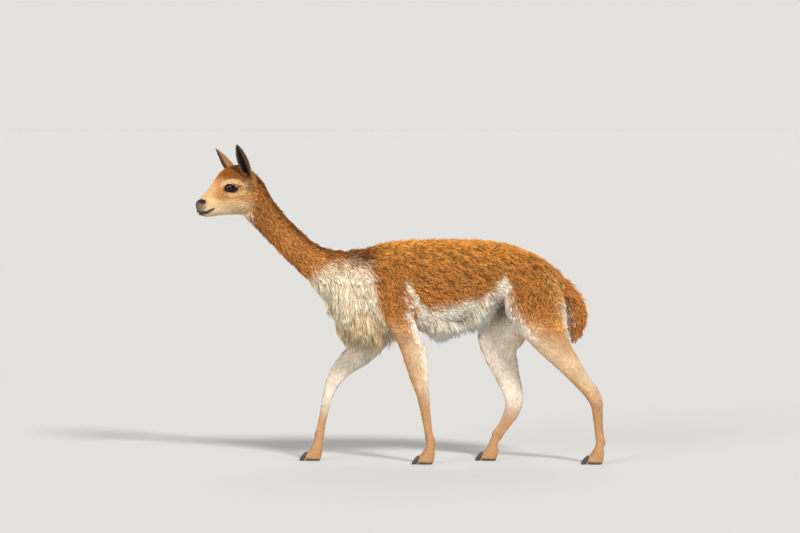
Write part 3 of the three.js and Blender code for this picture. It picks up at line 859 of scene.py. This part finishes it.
smooth_leg = (part == "toe") | ((part == "leg") & (places[:, 2] < 0.56))
# Painted shade on the skin under the hair, deepest under the fawn fleece and least on the face; on the legs
# it matches the leg hair.
depth = np.where(smooth_coat, 0.9, np.where(smooth_leg, 0.66, np.where(tones[:, 2] > 0.4, 0.6, 0.42)))
colour_in(skin.data, "Coat", tones * depth[:, None])
flesh = ["head", "neck", "torso", "tail", "ear_left", "ear_right"] + ["leg_" + name for name in LEGS]
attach(skin, "root")
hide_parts(*flesh)

# The lie of the coat: back from the nose, down the neck, back and down over the trunk, and down the legs.
fall[body_part == "head"] *= -1
sag = {"torso": 0.75, "neck": 0.15, "leg": 0.1, "chest": 0.6, "tail": 0.1, "head": 0.1, "toe": 0}
fall[:, 2] -= np.array([sag[name] for name in body_part])
fall = soften(unit(fall), edges, 0.6, 24)
for name, (root, tip, _) in EARS.items():
    ahead = turn_head(np.array([tip, root], float))
    fall = np.concatenate([fall, np.tile(unit(ahead[0] - ahead[1]), ((part == name).sum(), 1))])
fall = unit(fall - normals * np.sum(fall * normals, 1)[:, None])


# Fleece of the neck and trunk
# Very fine wool, 15 to 30 mm long, in crimped tufts that lie back and part in small waves. Each tuft is a
# three-sided blade that tapers to its tip, darker at its root, where less light comes in. It stands for
# many hairs, which are too fine to show.

# Wool: matt, with a soft sheen from the fibre ends.
wool, _, _ = hair_material("vicuna_wool", 700.0, 2.0, 0.86, 0.75, 0.06, 0.4)

# Whole numbers that turn the cell of a point into one number of its own
CELLS = np.array([1, 4099, 16785407])
MAP_PATCH = 0.0015


def scatter(chosen, gap):
    """Corners of the skin, about one in each cell of gap mm, out of those chosen."""
    index = rng.permutation(np.flatnonzero(chosen))
    cell = np.floor(places[index] / (gap / 1000) + rng.uniform(0, 1, 3)).astype(np.int64)
    _, first = np.unique(cell @ CELLS, return_index=True)
    return index[first]


def tufts(
    name, roots, lie, length, width, lift, rows=3, thick=0.45, rounded=True, sink=2.0, curl=0.0, droop=0.0,
    clump=12.0, pull=0.4, ridge=1.0, relief=0.0, loose=0.0, dark=0.3, bright=1.28, pale_bright=1.16,
    vary=0.08, uneven=0.08, gap=0.15, stray=3.0,
):
    """A coat piece: a tapered blade of hair for each root on the skin. Sizes are mm, one for all or for each.

    The blades of one clump lean together at their tips. Their colour is the skin's own with painted light and
    shade: painted shade at the root, a painted highlight at the tip and painted shadow in the gaps between
    clumps. ridge is 0 in the partings of the coat, and relief is how much lower the hair is there and how
    much painted shade it takes, with a painted highlight on the crests. Each blade carries a small patch of
    the map OFBake, at its root's place on the unrolled form.
    """
    n = len(roots)
    size = lambda v: np.broadcast_to(np.asarray(v, float), (n,))[:, None]
    length, width, lift = [size(v) * rng.uniform(0.8, 1.2, (n, 1)) / 1000 for v in (length, width, lift)]
    lift = lift * np.where(rng.uniform(size=(n, 1)) < loose, 1.9, 1)
    sink, curl, droop = size(sink) / 1000, size(curl) / 1000, size(droop)
    above = relief * (size(ridge) - 0.7)
    lift = lift * np.maximum(1 + above, 0.15)
    up, base = normals[roots], places[roots]
    side = unit(np.cross(lie, up))
    base = base + side * rng.normal(0, 0.0006, (n, 1)) + lie * rng.normal(0, 0.0008, (n, 1))
    turn = rng.uniform(0, 2 * np.pi, (n, 1))
    t = np.linspace(0, 1, rows + 1)[None]
    line = (
        base[:, None]
        + lie[:, None] * (length * t)[..., None]
        + up[:, None] * (lift * (1 - (1 - t) ** 2) - sink * (1 - t) ** 3)[..., None]
        + side[:, None] * (curl * np.sin(turn + t * 6.0) * t)[..., None]
        + np.array([0, 0, -1]) * (droop * length * t**2)[..., None]
    )
    warp = np.stack([ripple(places[roots], 30, k) for k in (31, 32, 33)], -1) * 0.35
    cell = np.floor(places[roots] * 1000 / clump + warp).astype(np.int64)
    _, group = np.unique(cell @ CELLS, return_inverse=True)
    share = np.bincount(group)[:, None]
    mean = lambda v: (np.stack([np.bincount(group, v[:, k]) for k in range(3)], -1) / share)[group]
    line += (mean(line[:, -1]) - line[:, -1])[:, None] * (pull * t**1.4)[..., None]
    from_middle = np.linalg.norm(base - mean(base), axis=1) * 2000 / clump

    # Three corners for each row of a blade and one at its tip
    along = unit(np.diff(line, axis=1, append=line[:, -1:] * 2 - line[:, -2:-1]))[:, :rows]
    across = unit(np.cross(along, up[:, None]))
    half = (width * np.interp(t, [0, 0.35, 0.7, 1], [0.6, 1, 0.75, 0.3]) / 2)[:, :rows, None]
    keel = np.cross(across, along) * 2 * thick
    rings = line[:, :rows, None] + np.stack([across * half, -across * half, keel * half], 2)
    corners = np.concatenate([rings.reshape(n, -1, 3), line[:, -1:]], 1)
    each = rows * 3 + 1
    pattern = [(1, 2, 0)]
    for i in range(rows - 1):
        for j in range(3):
            a, b, c, d = i * 3 + j, i * 3 + (j + 1) % 3, i * 3 + 3 + (j + 1) % 3, i * 3 + 3 + j
            pattern += [(c, b, a), (d, c, a)]
    pattern += [(each - 1, (rows - 1) * 3 + (j + 1) % 3, (rows - 1) * 3 + j) for j in range(3)]
    triangles = (np.array(pattern)[None] + np.arange(n)[:, None, None] * each).reshape(-1, 3)

    tone = tones[roots]
    if stray:
        moved = base + rng.normal(0, stray / 1000, (n, 3))
        tone = coat_colour(moved, up, part[roots], where[roots])
    tone = tone * (1 + rng.normal(0, vary, (n, 1)) + rng.normal(0, 0.025, (n, 3)))
    pale = ease(0.25, 0.5, tone[:, 2:])
    tone *= 1 + rng.normal(0, uneven, (len(share), 1))[group] + 0.08 * ripple(places[roots], 70, 11)[:, None]
    # Painted shadow in the gaps between clumps, and painted shade in the partings with a painted highlight on
    # the crests.
    tone *= 1 - gap * ease(0.5, 1.3, from_middle)[:, None]
    tone *= 1 + 0.6 * above * (1 - 0.5 * pale)
    # Painted shade at the root, warm in hue and less deep on pale hair, and a painted highlight at the tip,
    # paler in hue on fawn hair.
    rise = np.append(np.repeat(t[0, :rows], 3), 1.0)
    dark = dark + np.maximum(0.64 - dark, 0) * pale
    bright = bright + (pale_bright - bright) * pale
    shade = dark + (bright - dark) * rise**0.7
    golden = (1 - pale)[:, None] * np.array([-0.03, 0.03, 0.12])
    warm = 1 + rise[:, None] * golden - (1 - rise[:, None]) * np.array([0.0, 0.1, 0.18])
    colour = np.clip(tone[:, None] * shade[..., None] * warm, 0.002, 0.93)

    forms_here, row = np.unique(form_number[roots], return_inverse=True)
    u = np.mod(where[roots, 1] / (2 * np.pi) + 0.5, 1) * 0.98 + 0.01
    v = (row + where[roots, 0] * 0.94 + 0.03) / len(forms_here)
    patch = np.stack([np.append(np.tile([1.0, -1.0, 0.0], rows), 0.0), rise * 2 - 1], -1) * MAP_PATCH
    bake = np.stack([u, v], -1)[:, None] + patch[None]

    mesh = bpy.data.meshes.new(name)
    mesh.vertices.add(n * each)
    mesh.vertices.foreach_set("co", corners.ravel())
    mesh.loops.add(triangles.size)
    mesh.loops.foreach_set("vertex_index", triangles.ravel().astype(np.int32))
    mesh.polygons.add(len(triangles))
    mesh.polygons.foreach_set("loop_start", np.arange(0, triangles.size, 3, dtype=np.int32))
    mesh.polygons.foreach_set("use_smooth", np.full(len(triangles), rounded))
    mesh.update(calc_edges=True)
    colour_in(mesh, "Coat", colour.reshape(-1, 3))
    mesh.uv_layers.new(name="OFBake").data.foreach_set("uv", bake.reshape(-1, 2)[triangles.ravel()].ravel())
    mesh.materials.append(wool)
    made = bpy.data.objects.new(name, mesh)
    scene.collection.objects.link(made)
    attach(made, "root")
    return made


def furrows(roots, spacing, stray=2.0, across=None):
    """0 in the thin wavy partings that run along the coat and 1 between them, at a spacing in mm.

    They run along the neck, legs and tail and slant over the trunk, or lie across the places given, mm.
    """
    if across is None:
        x, y, z = (places[roots] * 1000).T
        radius = np.array([{"neck": 55, "leg": 30, "tail": 32}.get(p, 0) for p in part[roots]])
        across = np.where(radius > 0, where[roots, 1] * radius, 0.5 * x + 0.85 * z + 0.9 * np.abs(y))
    swing = ripple(places[roots], 75, 41) + 0.4 * ripple(places[roots], 26, 42)
    wave = 2 * np.pi * across / spacing + stray * swing
    return 1 - (0.5 - 0.5 * np.cos(wave)) ** 3


def lie_at(roots, wander=0.0, size=45, extra=(0, 0, 0)):
    """The lie of the coat at the roots plus extra, swung aside by wander in waves of that size, mm."""
    lie, up = fall[roots] + np.array(extra), normals[roots]
    lie = unit(lie - up * np.sum(lie * up, 1)[:, None])
    swing = wander * ripple(places[roots], size, 21) + 0.5 * wander * rng.normal(0, 1, len(roots))
    return unit(lie + np.cross(up, lie) * swing[:, None])


mm = places * 1000 - [START_X, 0, 0]
ahead = mm[:, 0] - bib_rear(mm[:, 2])
in_bib = (part == "chest") | (np.isin(part, ["torso", "neck"]) & (ahead < 0) & (mm[:, 2] < 740))
hanging = ease(835, 745, mm[:, 2]) * ease(20, -40, ahead)
wooly = (np.isin(part, ["torso", "neck"]) | ((part == "leg") & (mm[:, 2] > 540))) & ~in_bib
trunk = wooly & (part != "neck")
near, rear = mm[:, 1] <= 0, mm[:, 0] > 210
roots = scatter(wooly & (part == "neck"), 4.5)
grown = ease(-0.04, 0.1, where[roots, 0])
ridge = furrows(roots, 16)
down = hanging[roots, None] * np.array([0, 0, -1.0])
lie = lie_at(roots, 0.3, 30, down)
size = (13 + 10 * grown + 12 * hanging[roots], 2.8 + 1.0 * grown, 1.5 + 3.4 * grown)
crimp = {"curl": 1.5, "clump": 7, "pull": 0.3, "vary": 0.18}
piece = tufts("fleece_neck", roots, lie, *size, ridge=ridge, relief=0.55, loose=0.12, **crimp)
for name, chosen in (
    ("fleece_shoulder_left", near & ~rear),
    ("fleece_shoulder_right", ~near & ~rear),
    ("fleece_rump_left", near & rear),
    ("fleece_rump_right", ~near & rear),
):
    roots = scatter(trunk & chosen, 4.7)
    down = hanging[roots, None] * np.array([0, 0, -1.0])
    calm = np.where(tones[roots, 2] > 0.35, 0.15, 0.6)
    lie = lie_at(roots, calm, 45, down)
    short = (part[roots] == "leg") * ease(680, 545, mm[roots, 2])
    size = ((26 + 12 * hanging[roots]) * (1 - 0.3 * short), 3.5, (4.5 + 3.3 * calm) * (1 - 0.7 * short))
    ridge = 1 - (1 - furrows(roots, 21, 3.0)) * (1 - short)
    # Less painted shade at the roots where the fleece shortens towards the leg hair.
    dark = (0.3 + 0.4 * short)[:, None]
    crimp = {"curl": 4, "clump": 10, "ridge": ridge, "relief": 1.1}
    piece = tufts(name, roots, lie, *size, loose=0.1, dark=dark, **crimp)


# Bib
# Straight soft hair, up to 100 mm long, that hangs from the chest in pointed locks, cream with shadows
# between them. A shorter layer covers the skin, and long locks hang over it.

white_hair = {"dark": 0.62, "bright": 1.16, "rows": 4, "vary": 0.12}
roots = scatter(in_bib, 5.7)
deep = ease(800, 560, mm[roots, 2])
lie = lie_at(roots, 0.2, 40, (0, 0, -1.2))
ridge = furrows(roots, 24, 1.8, mm[roots, 0] * 0.9 + np.abs(mm[roots, 1]) * 0.6)
size = (34 + 38 * deep, 2.3, 6 + 6 * deep)
lock = {"curl": 4, "droop": 0.3, "clump": 16, "pull": 0.5, "ridge": ridge, "relief": 1.9}
piece = tufts("bib", roots, lie, *size, **lock, **white_hair)
roots = scatter(in_bib & (mm[:, 2] < 760), 8.5)
deep, under = ease(760, 580, mm[roots, 2]), ease(0.1, 0.7, -normals[roots, 2])
lie = lie_at(roots, 0.16, 60, (0.1, 0, -2.0))
flat = 1 - 0.6 * np.abs(normals[roots, 1])
size = (58 + 34 * deep - 34 * under, 3.0, (7 + 6 * deep) * flat)
lock = {"curl": 6, "droop": 0.25 + 0.25 * under, "rows": 7, "clump": 24, "pull": 0.75}
piece = tufts("bib_locks", roots, lie, *size, dark=0.6, bright=1.14, vary=0.2, **lock)


# Belly and flank fringe
# Longer white hair under the belly, from the elbow to the stifle, and down the fold in front of each thigh.

low = np.interp(mm[:, 0], BELLY_LINE[0], BELLY_LINE[1])
fringe = (part == "torso") & (mm[:, 2] < low + 4) & (mm[:, 0] > -60) & (mm[:, 0] < 430)
roots = scatter(fringe, 5.8)
middle = ease(40, 110, mm[roots, 0]) * ease(390, 280, mm[roots, 0])
under = ease(0.2, 0.8, -normals[roots, 2])
lie = lie_at(roots, 0.35, 30, (0, 0, -0.8))
hang = 0.4 + 0.7 * under * middle
size = (22 + (12 + 26 * under) * middle, 3.0, 3)
piece = tufts("belly_fringe", roots, lie, *size, curl=8, droop=hang, clump=20, pull=0.7, **white_hair)
fold = (part == "leg") & (mm[:, 0] > 250) & (np.cos(where[:, 1]) > 0.62)
fold = fold & (mm[:, 2] > 500) & (mm[:, 2] < 740)
roots = scatter(fold, 5.0)
lie = lie_at(roots, 0.25, 30, (0.3, 0, -0.6))
faded = ease(500, 640, mm[roots, 2])
size = (14 + 26 * faded, 2.8, 3 + 6 * faded)
piece = tufts("thigh_fringe", roots, lie, *size, curl=4, droop=0.3, clump=14, pull=0.55, **white_hair)


# Tail
# Curly brown wool, about 30 mm long, that hangs from the dock in a club.

roots = scatter(part == "tail", 4.4)
lie = lie_at(roots, 0.6, 25)
crimp = {"curl": 9, "rows": 5, "ridge": furrows(roots, 16, 3.0), "relief": 0.9}
piece = tufts("tail_wool", roots, lie, 32, 4.6, 10, loose=0.2, **crimp)


# Leg hair
# Short smooth hair that lies flat down the leg to the toes, in wide flat-sided blades with hardly a shadow
# between them.

sleek = {"rows": 2, "thick": 0.16, "rounded": False, "gap": 0.05, "uneven": 0.06}
sleek.update({"dark": 0.56, "bright": 0.7, "pale_bright": 0.74})
for name, chosen in (("leg_hair_front", mm[:, 0] < 200), ("leg_hair_hind", mm[:, 0] >= 200)):
    roots = scatter((part == "leg") & (mm[:, 2] <= 585) & chosen, 5.0)
    tall = ease(150, 540, mm[roots, 2])
    size = (12 + 13 * tall, 3.4 + 1.8 * tall, 0.9 + 1.5 * tall)
    piece = tufts(name, roots, lie_at(roots, 0.2, 40), *size, sink=1.0, **sleek)
roots = scatter((part == "toe") & (mm[:, 2] > 12), 4.4)
piece = tufts("toe_hair", roots, lie_at(roots, 0.2, 40), 8, 2.2, 0.8, sink=0.6, **sleek)


# Head hair
# Very short hair that lies back from the nose, longer on the crown and cheeks. The lids, nose and lips are
# left as bare skin.

at = to_straight_head(places)
eye_near = np.hypot((at[:, 0] + 703) / 29, (at[:, 2] - 1100) / 17) < 1
lips, _ = to_line(at[:, 0], at[:, 2], LIPS)
furred = (part == "head") & ~eye_near & (lips > 4) & ~((at[:, 0] < -808) & (at[:, 2] > 1010))
roots = scatter(furred, 4.0)
grown = ease(-800, -620, at[roots, 0])
rough = ease(-668, -630, at[roots, 0])
size = (6 + 10 * grown + 5 * rough, 2.0 + 1.2 * grown, 0.7 + 2.0 * grown + 3.2 * rough)
ridge = 1 - grown * (1 - furrows(roots, 13, 3.0, at[roots, 2] - 0.3 * at[roots, 0]))
short = {"sink": 0.5, "rows": 2, "bright": 1.08, "gap": 0.04, "uneven": 0.04}
lie = lie_at(roots, 0.25, 30)
piece = tufts("face_hair", roots, lie, *size, dark=0.75, stray=1.2, ridge=ridge, relief=0.5, **short)
roots = scatter(np.isin(part, list(EARS)), 3.4)
piece = tufts("ear_hair", roots, lie_at(roots, 0.2, 20), 8, 1.4, 0.8, dark=0.86, stray=0, **short)


# Eyes
# Large dark glass eyes, as a taxidermist sets them: a brown iris painted behind the glass, with a long
# level pupil, under a dark lid with a row of long lashes.

glass = new_material("taxidermy_glass_eye")
painted = node(glass, "ShaderNodeAttribute", attribute_name="Iris")
shader = node(
    glass,
    "ShaderNodeBsdfPrincipled",
    [("Roughness", 0.05), ("IOR", 1.36)],
    [("Base Color", painted.outputs["Color"])],
)
node(glass, "ShaderNodeOutputMaterial", links=[("Surface", shader.outputs[0])])
tilt = np.linspace(-np.pi / 2, np.pi / 2, 33)[1:-1, None]
turn = np.linspace(0, 2 * np.pi, 48, endpoint=False)
ball = np.stack([np.cos(tilt) * np.cos(turn), np.cos(tilt) * np.sin(turn), np.sin(tilt) + 0 * turn], -1)
ball = np.concatenate([ball.reshape(-1, 3), [[0, 0, -1], [0, 0, 1]]])
lash_roots, lash_lie = [], []
for name, side in (("eye_left", -1), ("eye_right", 1)):
    centre = np.array([EYE_X, side * EYE_Y, EYE_Z], float)
    out, ahead, up = eye_axes(side)
    level, height, depth = ball @ ahead, ball @ up, ball @ out
    pupil = (np.abs(level / 0.36) ** 2.4 + np.abs(height / 0.2) ** 2.4 < 1) & (depth > 0)
    iris = ease(0.6, 0.72, depth)[:, None]
    paint = np.array(linear("#080605")[:3]) * (1 - iris) + np.array(linear("#1C110A")[:3]) * iris
    paint[pupil] = linear("#040303")[:3]
    shape = to_frame(ball * (EYE_RADIUS - 0.3) + centre)
    eye = new_object(name + "_glass", shape, ring_faces(len(tilt), len(turn)), glass)
    colour_in(eye.data, "Iris", paint)
    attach(eye, "root")
    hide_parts(name)
    off = at - centre
    level, height = off @ ahead, off @ up
    rim = np.hypot(level / 23, height / 13.5)
    lid = (part == "head") & (off @ out > 0) & (rim > 1.0) & (rim < 1.22) & (height > 3)
    found = scatter(lid, 2.0)
    turned = turn_head(np.stack([out, ahead, up]) + HEAD_PIVOT) - HEAD_PIVOT
    lash_roots.append(found)
    lash_lie.append(unit(turned[0] * 0.9 - turned[2] * 0.15 - turned[1] * (level[found] / 40)[:, None]))
roots, lie = np.concatenate(lash_roots), np.concatenate(lash_lie)
piece = tufts("lashes", roots, lie, 9, 0.9, 0.5, sink=0.5, clump=3, pull=0.1, dark=1.0, bright=1.0, stray=0)


# Nails
# One dark horn nail on each toe, curved down at its tip, with fine lines along it.

horn = new_material("dark_horn")
place = node(horn, "ShaderNodeTexCoord")
fineness = [("Scale", 260.0), ("Detail", 4.0)]
lines = node(horn, "ShaderNodeTexNoise", fineness, [("Vector", place.outputs["Object"])])
shades = node(
    horn,
    "ShaderNodeMix",
    [(6, linear("#2A2320")), (7, linear("#4A3F38"))],
    [(0, lines.outputs["Fac"])],
    data_type="RGBA",
)
relief = [("Strength", 0.4), ("Distance", 0.0005)]
bump = node(horn, "ShaderNodeBump", relief, [("Height", lines.outputs["Fac"])])
shader = node(
    horn,
    "ShaderNodeBsdfPrincipled",
    [("Roughness", 0.45)],
    [("Base Color", shades.outputs[2]), ("Normal", bump.outputs["Normal"])],
)
node(horn, "ShaderNodeOutputMaterial", links=[("Surface", shader.outputs[0])])
for leg_name, ribs in LEGS.items():
    x, y = (ribs[-1][0] + ribs[-1][2]) / 2, ribs[-1][5]
    for letter, side in (("a", -1), ("b", 1)):
        off = y + side * TOE_APART * 1.1
        rows = [
            [x - 49, 36, x - 46, 16, 8, off],
            [x - 63, 24, x - 58, 4, 9, off],
            [x - 75, 8, x - 66, -3, 6, off],
        ]
        shape, faces, _ = Form("nail", rows, start=3, end=4, square=2.3).mesh(24, 24)
        shape[:, 2] = np.maximum(shape[:, 2], 0)
        nail = new_object(f"nail_{leg_name}_{letter}_horn", shape, faces, horn)
        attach(nail, "root")
        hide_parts(f"nail_{leg_name}_{letter}")
